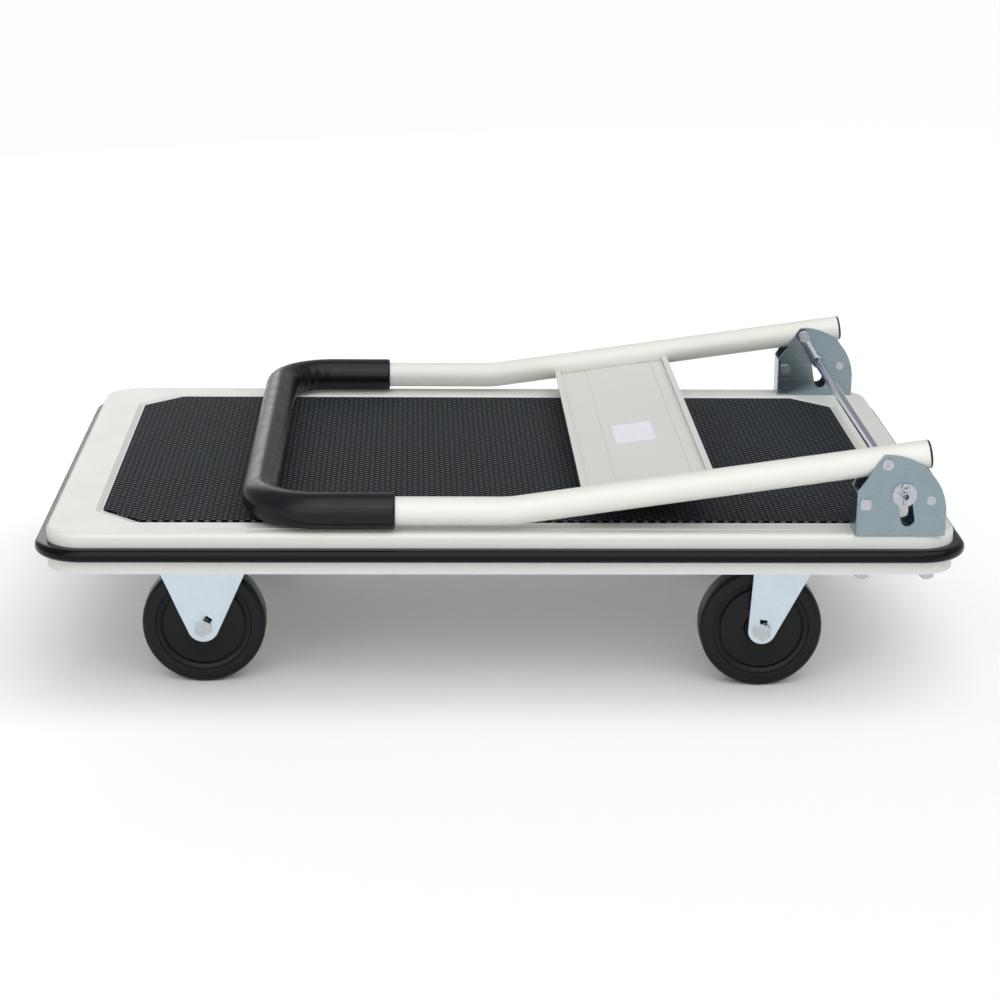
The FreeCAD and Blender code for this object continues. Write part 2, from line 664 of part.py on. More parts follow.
def make_foam_grip():
    """Foam sleeve over the crossbar, both corners and the start of the legs."""
    points = [vec(FOAM_END_LEFT, -HANDLE_Y, GRIP_AXIS_Z), vec(CROSSBAR_X, -HANDLE_Y, GRIP_AXIS_Z),
              vec(CROSSBAR_X, HANDLE_Y, GRIP_AXIS_Z), vec(FOAM_END_RIGHT, HANDLE_Y, GRIP_AXIS_Z)]
    path = bent_path(points, [CORNER_RADIUS, CORNER_RADIUS])
    save("foam_grip", sweep_round(path, FOAM_RADIUS).cut(sweep_round(path, TUBE_RADIUS)))


def make_cross_panel():
    """Sheet panel welded between the legs: raised hems, two shallow beads and weld tabs."""
    top = -PANEL_DROP
    low = top - PANEL_SHEET
    reach = HANDLE_Y - TUBE_RADIUS / 2
    middle = -(PANEL_NEAR + PANEL_FAR) / 2
    panel = box((-PANEL_FAR, -PANEL_NEAR), (-reach, reach), (low, top))
    for start in (-PANEL_FAR, -PANEL_NEAR - PANEL_HEM_WIDTH):
        hem = box((start, start + PANEL_HEM_WIDTH), (-reach, reach), (low, top + PANEL_HEM_HEIGHT))
        panel = panel.fuse(hem)
    for offset in (-PANEL_BEAD_OFFSET, PANEL_BEAD_OFFSET):
        bead = mid_box((middle + offset, 0, top), (PANEL_BEAD_WIDTH, 2 * reach, 2 * PANEL_BEAD_DEPTH))
        panel = panel.cut(bead)
    tab_length = (-PANEL_FAR + PANEL_TAB_INSET, -PANEL_NEAR - PANEL_TAB_INSET)
    tab_top = -TUBE_RADIUS - AIR_GAP
    tab_root = HANDLE_Y - TUBE_RADIUS - PANEL_SHEET / 2
    for _, side in SIDES:
        leg = Part.makeCylinder(TUBE_RADIUS, PANEL_FAR, vec(-PANEL_FAR - 1, side * HANDLE_Y, 0), X_AXIS)
        across_drop = span_y(side, tab_root, tab_root + PANEL_SHEET)
        across_tab = span_y(side, tab_root, tab_root + PANEL_TAB_REACH)
        drop = box(tab_length, across_drop, (tab_top - PANEL_SHEET, top))
        tab = box(tab_length, across_tab, (tab_top - PANEL_SHEET, tab_top))
        panel = panel.fuse(drop).fuse(tab).cut(leg)
    save("cross_panel", tilt(panel.removeSplitter()))


def make_blank_label():
    """Thin blank sticker on the cross panel."""
    centre = (-LABEL_ALONG, LABEL_Y, -PANEL_DROP + LABEL_THICKNESS / 2)
    save("blank_label", tilt(mid_box(centre, (LABEL_SIZE[0], LABEL_SIZE[1], LABEL_THICKNESS))))


# ---------------------------------------------------------------- release rod and springs
def make_release_rod():
    """Rod across the cart with thinner, hollow ends that ride in the bracket slots."""
    rod = rod_y(ROD_RADIUS, ROD_X, ROD_Z, -ROD_NECK_Y, ROD_NECK_Y)
    rod = rod.fuse(rod_y(ROD_NECK_RADIUS, ROD_X, ROD_Z, -ROD_HALF_LENGTH, ROD_HALF_LENGTH))
    holes = []
    washers = []
    pins = []
    washer_inner = BRACKET_OUTER_Y + AIR_GAP
    washer_outer = washer_inner + WASHER_THICKNESS
    pin_y = washer_outer + SPLIT_PIN_GAP + SPLIT_PIN_RADIUS
    eye_z = ROD_Z + ROD_NECK_RADIUS + SPLIT_PIN_EYE + SPLIT_PIN_RADIUS + RUNNING_CLEARANCE
    tip_z = ROD_Z - ROD_NECK_RADIUS - SPLIT_PIN_TIP
    for _, side in SIDES:
        y = side * pin_y
        washer = rod_y(WASHER_RADIUS, ROD_X, ROD_Z, *span_y(side, washer_inner, washer_outer))
        washers.append(washer.cut(rod))
        holes.append(rod_z(SPLIT_PIN_RADIUS, ROD_X, y, ROD_Z - ROD_RADIUS, ROD_Z + ROD_RADIUS))
        bore = span_y(side, ROD_HALF_LENGTH - ROD_BORE_DEPTH, ROD_HALF_LENGTH + 1)
        holes.append(rod_y(ROD_BORE_RADIUS, ROD_X, ROD_Z, *bore))
        eye = Part.makeTorus(SPLIT_PIN_EYE, SPLIT_PIN_RADIUS, vec(ROD_X, y, eye_z), Y_AXIS)
        pins.append(eye.fuse(rod_z(SPLIT_PIN_RADIUS, ROD_X, y, tip_z, eye_z - SPLIT_PIN_EYE)))
    save("release_rod", drill(rod, holes).removeSplitter())
    save("rod_washers", *washers)
    save("rod_split_pins", *pins)


def make_springs():
    """Tension springs from the pivot pins' inner ends down to the release rod."""
    span = vec(ROD_X - PIVOT_X, 0, ROD_Z - PIVOT_Z)
    heading = vec(span.x, 0, span.z).normalize()
    eye_radius = ROD_RADIUS + SPRING_WIRE + 2 * RUNNING_CLEARANCE
    for name, side in SIDES:
        top = vec(PIVOT_X, side * SPRING_Y, PIVOT_Z)
        foot = top + span
        coil_start = eye_radius + SPRING_WIRE - RUNNING_CLEARANCE
        coil_length = span.Length - 2 * coil_start
        spring = Part.makeCylinder(SPRING_RADIUS, coil_length, top + heading * coil_start, heading)
        spring = spring.cut(Part.makeCylinder(SPRING_RADIUS - 2 * SPRING_WIRE, span.Length, top, heading))
        for eye in (top, foot):
            spring = spring.fuse(Part.makeTorus(eye_radius, SPRING_WIRE, eye, Y_AXIS))
        save("rod_spring_" + name, spring)


# ---------------------------------------------------------------- casters
def tangent_point(x, z, radius, turn):
    """Return where a line from (x, z) touches a circle round (0, 0); turn +1 is the left side."""
    angle = math.atan2(z, x) + turn * math.acos(radius / math.hypot(x, z))
    return radius * math.cos(angle), radius * math.sin(angle)


def fork_leg(x, y_low, outline, tip_radius, thickness):
    """Return a fork leg from its right and left outlines above the axle, both from the top down."""
    right, left = outline
    chain = list(right)
    chain.append(tangent_point(right[-1][0], right[-1][1], tip_radius, -1))
    chain.append(tangent_point(left[-1][0], left[-1][1], tip_radius, 1))
    chain += reversed(left)
    points = [vec(x + px, y_low, WHEEL_RADIUS + pz) for px, pz in chain]
    leg = polygon_face(points).extrude(vec(0, thickness, 0))
    return leg.fuse(rod_y(tip_radius, x, WHEEL_RADIUS, y_low, y_low + thickness))


def folded_leg(x, leg_side, y_range, outline, tip_radius, fold):
    """Return a fork leg cut from a sheet that is folded along upright lines.

    The fold is the leg's plan as (across, drop) points from left to right, where drop is how far
    the sheet stands back towards the wheel.
    """
    y_outer, y_inner = y_range if leg_side < 0 else reversed(y_range)
    deepest = max(drop for _, drop in fold)
    outer = [vec(x + across, y_outer - leg_side * drop, 0) for across, drop in fold]
    inner = [vec(x + across, y_inner - leg_side * drop, 0) for across, drop in reversed(fold)]
    sheet = polygon_face(outer + inner).extrude(vec(0, 0, PLATE_TOP))
    slab = fork_leg(x, y_range[0] - deepest, outline, tip_radius, FORK_SHEET + 2 * deepest)
    return slab.common(sheet)


def leg_ranges(y):
    """Return the (low, high) Y ranges of a fork's two legs."""
    return [(y - FORK_OUTER, y - FORK_GAP / 2), (y + FORK_GAP / 2, y + FORK_OUTER)]


def caster_plate(x, y):
    """Return a drilled caster top plate with rounded corners."""
    plate = rounded_block(PLATE_LENGTH, PLATE_WIDTH, PLATE_CORNER, PLATE_TOP - PLATE_SHEET, PLATE_TOP)
    plate.translate(vec(x, y, 0))
    return drill(plate, bolt_holes(plate_bolt_places(x, y), PLATE_TOP - PLATE_SHEET - 1, PLATE_TOP + 1))


def axle_cuts(x, y, key_turn):
    """Return the cutters for the axle holes and the key slots above them, turned round the axle."""
    axle = rod_y(AXLE_RADIUS, x, WHEEL_RADIUS, y - HUB_WIDTH, y + HUB_WIDTH)
    key = mid_box((x, y, WHEEL_RADIUS + KEY_SLOT_RISE), (KEY_SLOT[0], 2 * HUB_WIDTH, KEY_SLOT[1]))
    key.rotate(vec(x, y, WHEEL_RADIUS), Y_AXIS, key_turn)
    return [axle, key]


def make_fixed_fork(name, x, y):
    """Rigid caster fork: top plate and two tapering legs, each with a raised middle panel."""
    plate_low = PLATE_TOP - PLATE_SHEET - WHEEL_RADIUS
    right = [(FIXED_LEG_TOP, plate_low), (FIXED_LEG_WAIST, FIXED_LEG_WAIST_RISE)]
    left = [(-px, pz) for px, pz in right]
    fork = caster_plate(x, y)
    foot = FIXED_PANEL_HALF + FIXED_PANEL_SLANT
    rise = FIXED_PANEL_RISE
    fold = [(-FIXED_LEG_TOP, rise), (-foot, rise), (-FIXED_PANEL_HALF, 0),
            (FIXED_PANEL_HALF, 0), (foot, rise), (FIXED_LEG_TOP, rise)]
    for leg_side, y_range in zip((-1, 1), leg_ranges(y)):
        fork = fork.fuse(folded_leg(x, leg_side, y_range, (right, left), FORK_TIP_RADIUS, fold))
    save("fixed_fork_" + name, drill(fork.removeSplitter(), axle_cuts(x, y, FIXED_KEY_TURN)))


def make_swivel_plate(name, x, y):
    """Swivel caster's top plate with the upper ball race and a hole for the kingpin."""
    race_low = CROWN_TOP + 2 * (BALL_RADIUS + RUNNING_CLEARANCE)
    race = rod_z(RACE_OUTER, x, y, race_low, PLATE_TOP - PLATE_SHEET)
    race = race.cut(rod_z(RACE_INNER, x, y, CROWN_TOP, PLATE_TOP - PLATE_SHEET))
    hole = rod_z(KINGPIN_RADIUS, x, y, CROWN_BOTTOM, PLATE_TOP + 1)
    save("swivel_plate_" + name, caster_plate(x, y).fuse(race).cut(hole))


def make_kingpin(name, x, y):
    """Riveted pin that the swivel fork turns on."""
    head_top = CROWN_BOTTOM - AIR_GAP
    pin = rod_z(KINGPIN_RADIUS, x, y, head_top - KINGPIN_HEAD_HEIGHT, PLATE_TOP)
    head = rod_z(KINGPIN_HEAD_RADIUS, x, y, head_top - KINGPIN_HEAD_HEIGHT, head_top)
    save("kingpin_" + name, pin.fuse(head).removeSplitter())


def make_swivel_fork(name, x, y):
    """Swivel fork: crown with the kingpin hole and two creased, raked legs down to the axle."""
    axle_x = x - SWIVEL_TRAIL
    crown_rise = CROWN_BOTTOM - WHEEL_RADIUS
    right = [(SWIVEL_LEG_FRONT, crown_rise), (SWIVEL_LEG_WAIST, SWIVEL_LEG_WAIST_RISE)]
    left = [(SWIVEL_LEG_REAR, crown_rise)]
    crown = rod_z(CROWN_RADIUS, x, y, CROWN_BOTTOM, CROWN_TOP)
    shoulder = box((axle_x + SWIVEL_LEG_REAR, axle_x + SWIVEL_LEG_FRONT),
                   (y - FORK_OUTER, y + FORK_OUTER),
                   (CROWN_BOTTOM, CROWN_TOP))
    fork = crown.fuse(shoulder)
    fold = [(-SWIVEL_TIP_RADIUS, 0), (SWIVEL_CREASE - SWIVEL_CREASE_HALF, 0),
            (SWIVEL_CREASE + SWIVEL_CREASE_HALF, SWIVEL_CREASE_DROP),
            (SWIVEL_LEG_FRONT, SWIVEL_FRONT_DROP)]
    for leg_side, y_range in zip((-1, 1), leg_ranges(y)):
        leg = folded_leg(axle_x, leg_side, y_range, (right, left), SWIVEL_TIP_RADIUS, fold)
        fork = fork.fuse(leg)
    hole = rod_z(KINGPIN_RADIUS + RUNNING_CLEARANCE, x, y, CROWN_BOTTOM - 1, CROWN_TOP + 1)
    cuts = axle_cuts(axle_x, y, SWIVEL_KEY_TURN) + [hole]
    save("swivel_fork_" + name, drill(fork.removeSplitter(), cuts))


def make_swivel_balls(name, x, y):
    """Ring of bearing balls between the crown and the upper race."""
    z = CROWN_TOP + BALL_RADIUS + RUNNING_CLEARANCE
    angles = [math.radians(FULL_TURN * k / BALL_COUNT) for k in range(BALL_COUNT)]
    spots = [(x + BALL_CIRCLE * math.cos(a), y + BALL_CIRCLE * math.sin(a)) for a in angles]
    save("swivel_balls_" + name, *[Part.makeSphere(BALL_RADIUS, vec(*spot, z)) for spot in spots])


def make_wheel(name, x, y):
    """Tyre and moulded core of one wheel."""
    tyre = rod_y(WHEEL_RADIUS, x, WHEEL_RADIUS, y - TYRE_WIDTH / 2, y + TYRE_WIDTH / 2)
    tyre = tyre.makeFillet(TYRE_SHOULDER, [e for e in tyre.Edges if e.BoundBox.YLength < TOUCH])
    tyre = tyre.cut(rod_y(CORE_RADIUS, x, WHEEL_RADIUS, y - TYRE_WIDTH, y + TYRE_WIDTH))
    core = rod_y(CORE_RADIUS, x, WHEEL_RADIUS, y - CORE_DISC_WIDTH / 2, y + CORE_DISC_WIDTH / 2)
    core = core.fuse(rod_y(HUB_RADIUS, x, WHEEL_RADIUS, y - HUB_WIDTH / 2, y + HUB_WIDTH / 2))
    core = core.cut(rod_y(BUSH_RADIUS + RUNNING_CLEARANCE, x, WHEEL_RADIUS, y - HUB_WIDTH, y + HUB_WIDTH))
    save("tyre_" + name, tyre)
    save("wheel_core_" + name, core)


def make_axle(name, x, y, side):
    """Axle bolt with its head outboard, its nut inboard and the sleeve that the wheel runs on."""
    z = WHEEL_RADIUS
    end = -side * (FORK_OUTER + M10_NUT_HEIGHT + BOLT_PROTRUSION)
    head = side * (FORK_OUTER + M10_HEAD_HEIGHT)
    shank_range = sorted((y + end, y + side * FORK_OUTER))
    head_range = sorted((y + side * FORK_OUTER, y + head))
    nut_range = sorted((y - side * FORK_OUTER, y - side * (FORK_OUTER + M10_NUT_HEIGHT)))
    shank = rod_y(AXLE_RADIUS, x, z, *shank_range)
    save("axle_bolt_" + name, shank.fuse(hex_prism_y(M10_FLATS, x, z, *head_range)))
    save("axle_nut_" + name, hex_prism_y(M10_FLATS, x, z, *nut_range).cut(shank))
    save("axle_sleeve_" + name, rod_y(BUSH_RADIUS, x, z, y - FORK_GAP / 2, y + FORK_GAP / 2).cut(shank))


def make_caster_fasteners():
    """Bolts and nuts that hold the four caster plates to their channels."""
    head_low = PLATE_TOP + CHANNEL_SHEET
    nut_top = PLATE_TOP - PLATE_SHEET
    nut_low = nut_top - M8_NUT_HEIGHT
    bolts = []
    nuts = []
    for x, y in all_plate_bolt_places():
        shank = rod_z(M8_RADIUS, x, y, nut_low - BOLT_PROTRUSION, head_low)
        bolts.append(hex_prism(M8_FLATS, x, y, head_low, head_low + M8_HEAD_HEIGHT).fuse(shank))
        nuts.append(hex_prism(M8_FLATS, x, y, nut_low, nut_top).cut(shank))
    save("caster_bolts", *bolts)
    save("caster_nuts", *nuts)


def make_casters():
    """All four casters: fixed pair under -X, swivel pair under +X."""
    for name, side in SIDES:
        make_fixed_fork(name, FIXED_X, side * FIXED_Y)
        make_wheel("fixed_" + name, FIXED_X, side * FIXED_Y)
        make_axle("fixed_" + name, FIXED_X, side * FIXED_Y, side)
        make_swivel_plate(name, KINGPIN_X, side * KINGPIN_Y)
        make_kingpin(name, KINGPIN_X, side * KINGPIN_Y)
        make_swivel_fork(name, KINGPIN_X, side * KINGPIN_Y)
        make_swivel_balls(name, KINGPIN_X, side * KINGPIN_Y)
        make_wheel("swivel_" + name, KINGPIN_X - SWIVEL_TRAIL, side * KINGPIN_Y)
        make_axle("swivel_" + name, KINGPIN_X - SWIVEL_TRAIL, side * KINGPIN_Y, side)
    make_caster_fasteners()


def main():
    """Build every sub-part."""
    os.makedirs("parts", exist_ok=True)
    make_deck_shell()
    make_deck_mat()
    make_edge_bumper()
    make_caster_channels()
    make_bracket_backings()
    make_hinge_brackets()
    make_pivot_pins()
    make_stop_pins()
    make_spacer_rivets()
    make_bracket_fasteners()
    make_handle_tube()
    make_tail_caps()
    make_foam_grip()
    make_cross_panel()
    make_blank_label()
    make_release_rod()
    make_springs()
    make_casters()


if __name__ == "__main__":
    main()
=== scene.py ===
import logging
import math
from dataclasses import dataclass
from enum import Enum
from typing import Any, Iterable, Optional

import bmesh
import bpy
from mathutils import Matrix, Vector, noise


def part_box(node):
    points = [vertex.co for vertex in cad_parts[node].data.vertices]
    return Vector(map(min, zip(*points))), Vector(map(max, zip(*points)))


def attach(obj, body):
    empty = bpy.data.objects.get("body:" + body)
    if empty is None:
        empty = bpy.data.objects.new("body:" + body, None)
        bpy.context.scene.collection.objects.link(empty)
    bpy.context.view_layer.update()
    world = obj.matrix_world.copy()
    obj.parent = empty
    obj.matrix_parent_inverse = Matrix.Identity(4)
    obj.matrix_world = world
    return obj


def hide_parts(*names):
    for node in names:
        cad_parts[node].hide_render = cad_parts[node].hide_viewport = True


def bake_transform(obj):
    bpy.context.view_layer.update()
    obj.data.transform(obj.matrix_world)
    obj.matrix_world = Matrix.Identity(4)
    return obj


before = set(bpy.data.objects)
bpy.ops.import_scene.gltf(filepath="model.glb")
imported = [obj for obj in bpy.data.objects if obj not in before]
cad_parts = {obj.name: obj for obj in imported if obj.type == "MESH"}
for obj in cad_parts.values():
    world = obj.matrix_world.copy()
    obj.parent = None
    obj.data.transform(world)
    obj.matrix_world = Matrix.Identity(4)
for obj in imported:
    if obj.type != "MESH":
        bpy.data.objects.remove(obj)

MM = 0.001
PER_METRE = 1000.0
WELD_GAP = 0.01 * MM
X_AXIS = Vector((1.0, 0.0, 0.0))
Y_AXIS = Vector((0.0, 1.0, 0.0))
Z_AXIS = Vector((0.0, 0.0, 1.0))

log = logging.getLogger("cart")


# ---------------------------------------------------------------- small helpers
def linear(hex_colour: str) -> tuple[float, float, float, float]:
    """Turn an sRGB hex colour into the linear colour that a shader takes.

    Args:
        hex_colour: Six hex digits, with or without a leading #.

    Returns:
        Linear red, green, blue and an alpha of 1.
    """
    digits = hex_colour.lstrip("#")
    channels = [int(digits[i:i + 2], 16) / 255 for i in (0, 2, 4)]
    red, green, blue = [c / 12.92 if c <= 0.04045 else ((c + 0.055) / 1.055) ** 2.4
                        for c in channels]
    return (red, green, blue, 1.0)


def add_node(tree: bpy.types.NodeTree, kind: str, inputs: Optional[dict[Any, Any]] = None,
             **settings: Any) -> bpy.types.Node:
    """Add a shader node with its settings, socket values and links.

    Args:
        tree: The node tree.
        kind: The node's type name.
        inputs: Value, or the output socket to link, for each input by name or number.
        settings: The node's own properties.

    Returns:
        The new node.
    """
    node = tree.nodes.new(kind)
    for name, value in settings.items():
        setattr(node, name, value)
    for key, value in (inputs or {}).items():
        if isinstance(value, bpy.types.NodeSocket):
            tree.links.new(value, node.inputs[key])
        else:
            node.inputs[key].default_value = value
    return node


class Side(Enum):
    """The cart's left and right, as the sign of Y."""

    LEFT = -1
    RIGHT = 1

    @property
    def word(self) -> str:
        """The side's word in part names.

        Returns:
            "left" or "right".
        """
        return self.name.lower()


# ---------------------------------------------------------------- finishes
@dataclass(frozen=True)
class Finish:
    """What every finish has: a name, a colour and the way its surface answers light.

    The fields of a subclass add the surface's own texture; `grain` builds it.
    """

    name: str
    colour: str
    roughness: float
    metallic: float = 0.0
    ior: float = 1.5
    specular: float = 0.5
    slot: str = ""

    def material(self) -> bpy.types.Material:
        """Build the finish's node tree once.

        Returns:
            The material, which is shared by everything with this finish.
        """
        made = bpy.data.materials.get(self.name)
        if made is not None:
            return made
        made = bpy.data.materials.new(self.name)
        made.use_nodes = True
        tree = made.node_tree
        tree.nodes.clear()
        shader = add_node(tree, "ShaderNodeBsdfPrincipled", {
            "Base Color": linear(self.colour), "Roughness": self.roughness,
            "Metallic": self.metallic, "IOR": self.ior,
            "Specular IOR Level": self.specular})
        add_node(tree, "ShaderNodeOutputMaterial", {"Surface": shader.outputs["BSDF"]})
        place = add_node(tree, "ShaderNodeTexCoord").outputs["Object"]
        self.grain(tree, shader, place)
        made.diffuse_color = linear(self.colour)
        return made

    def grain(self, tree: bpy.types.NodeTree, shader: bpy.types.Node,
              place: bpy.types.NodeSocket) -> None:
        """Add the surface's texture to the shader; the plain finish has none.

        Args:
            tree: The node tree.
            shader: The shader that the texture feeds.
            place: Coordinates in metres.
        """

    def blend(self, tree: bpy.types.NodeTree, amount: bpy.types.NodeSocket,
              colours: tuple[str, str]) -> bpy.types.NodeSocket:
        """Mix two colours.

        Args:
            tree: The node tree.
            amount: How much of the second colour there is.
            colours: The two hex colours.

        Returns:
            The colour socket.
        """
        mixed = add_node(tree, "ShaderNodeMix", {0: amount}, data_type="RGBA")
        first, second = [socket for socket in mixed.inputs if socket.type == "RGBA"]
        first.default_value = linear(colours[0])
        second.default_value = linear(colours[1])
        return next(socket for socket in mixed.outputs if socket.type == "RGBA")

    def mottle(self, tree: bpy.types.NodeTree, place: bpy.types.NodeSocket, size_mm: float,
               colours: tuple[str, str], detail: float = 3.0) -> bpy.types.NodeSocket:
        """Blend softly between two colours in patches.

        Args:
            tree: The node tree.
            place: Coordinates in metres.
            size_mm: The size of a patch.
            colours: The two hex colours.
            detail: Octaves of noise.

        Returns:
            The colour socket.
        """
        cloud = add_node(tree, "ShaderNodeTexNoise",
                         {"Vector": place, "Scale": PER_METRE / size_mm, "Detail": detail})
        return self.blend(tree, cloud.outputs["Fac"], colours)

    def vary_gloss(self, tree: bpy.types.NodeTree, shader: bpy.types.Node,
                   value: bpy.types.NodeSocket, shinier: float, duller: float) -> None:
        """Let the roughness follow a 0.3 to 0.7 noise value, clamped at both ends.

        Args:
            tree: The node tree.
            shader: The shader whose roughness varies.
            value: The noise.
            shinier: How far below the finish's roughness it goes.
            duller: How far above it goes.
        """
        node = add_node(tree, "ShaderNodeMapRange", {
            "Value": value, "From Min": 0.3, "From Max": 0.7,
            "To Min": self.roughness - shinier, "To Max": self.roughness + duller})
        tree.links.new(node.outputs["Result"], shader.inputs["Roughness"])


@dataclass(frozen=True)
class PowderCoat(Finish):
    """Satin polyester powder coat: sprayed on pressed steel and baked.

    It shows a fine orange peel in its highlights and hardly any change of colour.
    """

    shade: str = "#e4e4dc"
    drift_mm: float = 90.0
    peel_mm: float = 2.2
    peel_depth_mm: float = 0.02
    peel_strength: float = 0.35
    gloss_per_metre: float = 25.0

    def grain(self, tree: bpy.types.NodeTree, shader: bpy.types.Node,
              place: bpy.types.NodeSocket) -> None:
        """Orange peel, a faint drift of colour and of gloss.

        Args:
            tree: The node tree.
            shader: The shader that the texture feeds.
            place: Coordinates in metres.
        """
        tree.links.new(self.mottle(tree, place, self.drift_mm, (self.colour, self.shade)),
                       shader.inputs["Base Color"])
        peel = add_node(tree, "ShaderNodeTexNoise",
                        {"Vector": place, "Scale": PER_METRE / self.peel_mm, "Detail": 1.0})
        bump = add_node(tree, "ShaderNodeBump", {
            "Height": peel.outputs["Fac"], "Strength": self.peel_strength,
            "Distance": self.peel_depth_mm * MM})
        tree.links.new(bump.outputs["Normal"], shader.inputs["Normal"])
        gloss = add_node(tree, "ShaderNodeTexNoise",
                         {"Vector": place, "Scale": self.gloss_per_metre, "Detail": 4.0})
        self.vary_gloss(tree, shader, gloss.outputs["Fac"], shinier=0.04, duller=0.06)


@dataclass(frozen=True)
class ZincPlate(Finish):
    """Bright zinc electroplate with a clear blue passivate over rolled sheet steel.

    The passivate tints the reflections blue, and the rolled sheet leaves fine lines along
    one direction and soft clouds of duller plate.
    """

    tint: str = "#b4c6da"
    roll_mm: tuple[float, float, float] = (60.0, 60.0, 1.2)
    cloud_mm: float = 14.0
    line_depth_mm: float = 0.008
    line_strength: float = 0.25

    def grain(self, tree: bpy.types.NodeTree, shader: bpy.types.Node,
              place: bpy.types.NodeSocket) -> None:
        """Blue clouds, rolling lines in gloss and relief.

        Args:
            tree: The node tree.
            shader: The shader that the texture feeds.
            place: Coordinates in metres.
        """
        tree.links.new(self.mottle(tree, place, self.cloud_mm, (self.colour, self.tint), 4.0),
                       shader.inputs["Base Color"])
        stretch = add_node(tree, "ShaderNodeMapping", {
            "Vector": place, "Scale": tuple(PER_METRE / size for size in self.roll_mm)})
        lines = add_node(tree, "ShaderNodeTexNoise",
                         {"Vector": stretch.outputs["Vector"], "Scale": 1.0, "Detail": 3.0})
        self.vary_gloss(tree, shader, lines.outputs["Fac"], shinier=0.03, duller=0.05)
        bump = add_node(tree, "ShaderNodeBump", {
            "Height": lines.outputs["Fac"], "Strength": self.line_strength,
            "Distance": self.line_depth_mm * MM})
        tree.links.new(bump.outputs["Normal"], shader.inputs["Normal"])


@dataclass(frozen=True)
class EmbossedRubber(Finish):
    """Calendered rubber mat, embossed with staggered low pads like a coarse weave.

    The pads stand in columns along Y at 5.7 mm, 7.9 mm apart in a column; each column is
    shifted by half of that.  Their tops are painted a lighter grey as a painted highlight,
    and the grooves between them near black as painted shade.
    """

    # Near-black painted shade for the grooves between the pads.
    groove: str = "#010202"
    pitch_x_mm: float = 5.7
    pitch_y_mm: float = 7.9
    foot: float = -0.15
    crest: float = 0.6
    depth_mm: float = 0.9
    grit_per_metre: float = 1500.0
    grit_depth_mm: float = 0.1
    grit_strength: float = 0.2

    def ripple(self, tree: bpy.types.NodeTree, along: bpy.types.NodeSocket,
               period_mm: float) -> bpy.types.NodeSocket:
        """Make a cosine along one axis.

        Args:
            tree: The node tree.
            along: The coordinate in metres.
            period_mm: The length of one full wave.

        Returns:
            The socket of the cosine.
        """
        angle = add_node(tree, "ShaderNodeMath", {0: along, 1: math.tau / (period_mm * MM)},
                         operation="MULTIPLY")
        return add_node(tree, "ShaderNodeMath", {0: angle.outputs[0]},
                        operation="COSINE").outputs[0]

    def grain(self, tree: bpy.types.NodeTree, shader: bpy.types.Node,
              place: bpy.types.NodeSocket) -> None:
        """Staggered pads where two waves crest together, with a painted highlight on their tops
        and painted shade in the grooves elsewhere.

        Args:
            tree: The node tree.
            shader: The shader that the texture feeds.
            place: Coordinates in metres.
        """
        axes = add_node(tree, "ShaderNodeSeparateXYZ", {"Vector": place})
        waves = add_node(tree, "ShaderNodeMath", {
            0: self.ripple(tree, axes.outputs["X"], 2 * self.pitch_x_mm),
            1: self.ripple(tree, axes.outputs["Y"], self.pitch_y_mm)}, operation="MULTIPLY")
        pads = add_node(tree, "ShaderNodeMapRange", {
            "Value": waves.outputs[0], "From Min": self.foot, "From Max": self.crest},
            interpolation_type="SMOOTHSTEP").outputs["Result"]
        # Painted light: the pad mask paints the pads' tops lighter as a painted highlight and the
        # grooves near black as painted shade; it also drives the pads' bump.
        tree.links.new(self.blend(tree, pads, (self.groove, self.colour)),
                       shader.inputs["Base Color"])
        grit = add_node(tree, "ShaderNodeTexNoise",
                        {"Vector": place, "Scale": self.grit_per_metre, "Detail": 2.0})
        fine = add_node(tree, "ShaderNodeBump", {
            "Height": grit.outputs["Fac"], "Strength": self.grit_strength,
            "Distance": self.grit_depth_mm * MM})
        bump = add_node(tree, "ShaderNodeBump", {
            "Height": pads, "Strength": 1.0, "Distance": self.depth_mm * MM,
            "Normal": fine.outputs["Normal"]})
        tree.links.new(bump.outputs["Normal"], shader.inputs["Normal"])


@dataclass(frozen=True)
class Moulded(Finish):
    """Moulded or extruded rubber and plastic: even colour, fine skin, faint flow marks."""

    shade: str = "#101112"
    skin_mm: float = 0.8
    skin_depth_mm: float = 0.03
    skin_strength: float = 0.3
    drift_mm: float = 35.0
    gloss_per_metre: float = 45.0

    def grain(self, tree: bpy.types.NodeTree, shader: bpy.types.Node,
              place: bpy.types.NodeSocket) -> None:
        """Fine moulded skin and a soft drift of colour and gloss.

        Args:
            tree: The node tree.
            shader: The shader that the texture feeds.
            place: Coordinates in metres.
        """
        tree.links.new(self.mottle(tree, place, self.drift_mm, (self.colour, self.shade)),
                       shader.inputs["Base Color"])
        skin = add_node(tree, "ShaderNodeTexNoise",
                        {"Vector": place, "Scale": PER_METRE / self.skin_mm, "Detail": 3.0})
        bump = add_node(tree, "ShaderNodeBump", {
            "Height": skin.outputs["Fac"], "Strength": self.skin_strength,
            "Distance": self.skin_depth_mm * MM})
        tree.links.new(bump.outputs["Normal"], shader.inputs["Normal"])
        gloss = add_node(tree, "ShaderNodeTexNoise",
                         {"Vector": place, "Scale": self.gloss_per_metre, "Detail": 4.0})
        self.vary_gloss(tree, shader, gloss.outputs["Fac"], shinier=0.05, duller=0.07)


